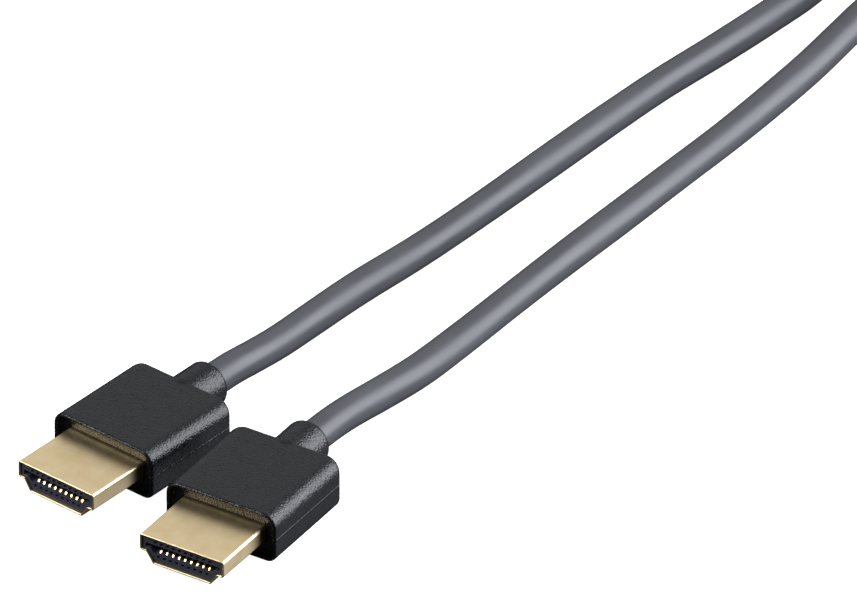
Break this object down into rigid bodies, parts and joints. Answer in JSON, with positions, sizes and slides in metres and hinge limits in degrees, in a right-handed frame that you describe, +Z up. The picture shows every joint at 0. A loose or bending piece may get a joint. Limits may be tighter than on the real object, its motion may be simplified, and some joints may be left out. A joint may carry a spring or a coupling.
{
  "type": "hdmi cable",
  "caption": "Slim audio and video cable: a moulded plug with a gold plated type A shell on each end of one round grey lead, its spare length folded into a tied hank.",
  "frame": {"origin": "middle of plug A's flat underside, on the floor that the cable lies on", "axes": "+Z up from the floor; +Y from plug A's shell back along its lead towards the hank, so the shell points along -Y; +X to the right, towards plug B"},
  "size_m": [0.0562, 0.2634, 0.013],
  "materials": {
    "overmould": "black moulded PVC with a fine spark-eroded texture",
    "shell": "satin gold plating on formed steel",
    "insulator": "black moulded insulator, satin",
    "contact": "bright gold plating on sprung copper alloy",
    "lead": "dark grey PVC jacket, semi-matte",
    "tie": "black woven hook-and-loop strap"
  },
  "bodies": {
    "root": {"plug_a_overmould": "overmould", "plug_a_shell": "shell", "plug_a_insulator": "insulator", "plug_a_contact_lower_01": "contact", "plug_a_contact_lower_02": "contact", "plug_a_contact_lower_03": "contact", "plug_a_contact_lower_04": "contact", "plug_a_contact_lower_05": "contact", "plug_a_contact_lower_06": "contact", "plug_a_contact_lower_07": "contact", "plug_a_contact_lower_08": "contact", "plug_a_contact_lower_09": "contact", "plug_a_contact_upper_01": "contact", "plug_a_contact_upper_02": "contact", "plug_a_contact_upper_03": "contact", "plug_a_contact_upper_04": "contact", "plug_a_contact_upper_05": "contact", "plug_a_contact_upper_06": "contact", "plug_a_contact_upper_07": "contact", "plug_a_contact_upper_08": "contact", "plug_a_contact_upper_09": "contact", "plug_a_contact_upper_10": "contact", "plug_b_overmould": "overmould", "plug_b_shell": "shell", "plug_b_insulator": "insulator", "plug_b_contact_lower_01": "contact", "plug_b_contact_lower_02": "contact", "plug_b_contact_lower_03": "contact", "plug_b_contact_lower_04": "contact", "plug_b_contact_lower_05": "contact", "plug_b_contact_lower_06": "contact", "plug_b_contact_lower_07": "contact", "plug_b_contact_lower_08": "contact", "plug_b_contact_lower_09": "contact", "plug_b_contact_upper_01": "contact", "plug_b_contact_upper_02": "contact", "plug_b_contact_upper_03": "contact", "plug_b_contact_upper_04": "contact", "plug_b_contact_upper_05": "contact", "plug_b_contact_upper_06": "contact", "plug_b_contact_upper_07": "contact", "plug_b_contact_upper_08": "contact", "plug_b_contact_upper_09": "contact", "plug_b_contact_upper_10": "contact", "cable_lead_a": "lead", "cable_hank": "lead", "cable_lead_b": "lead", "hank_tie": "tie"}
  },
  "joints": []
}
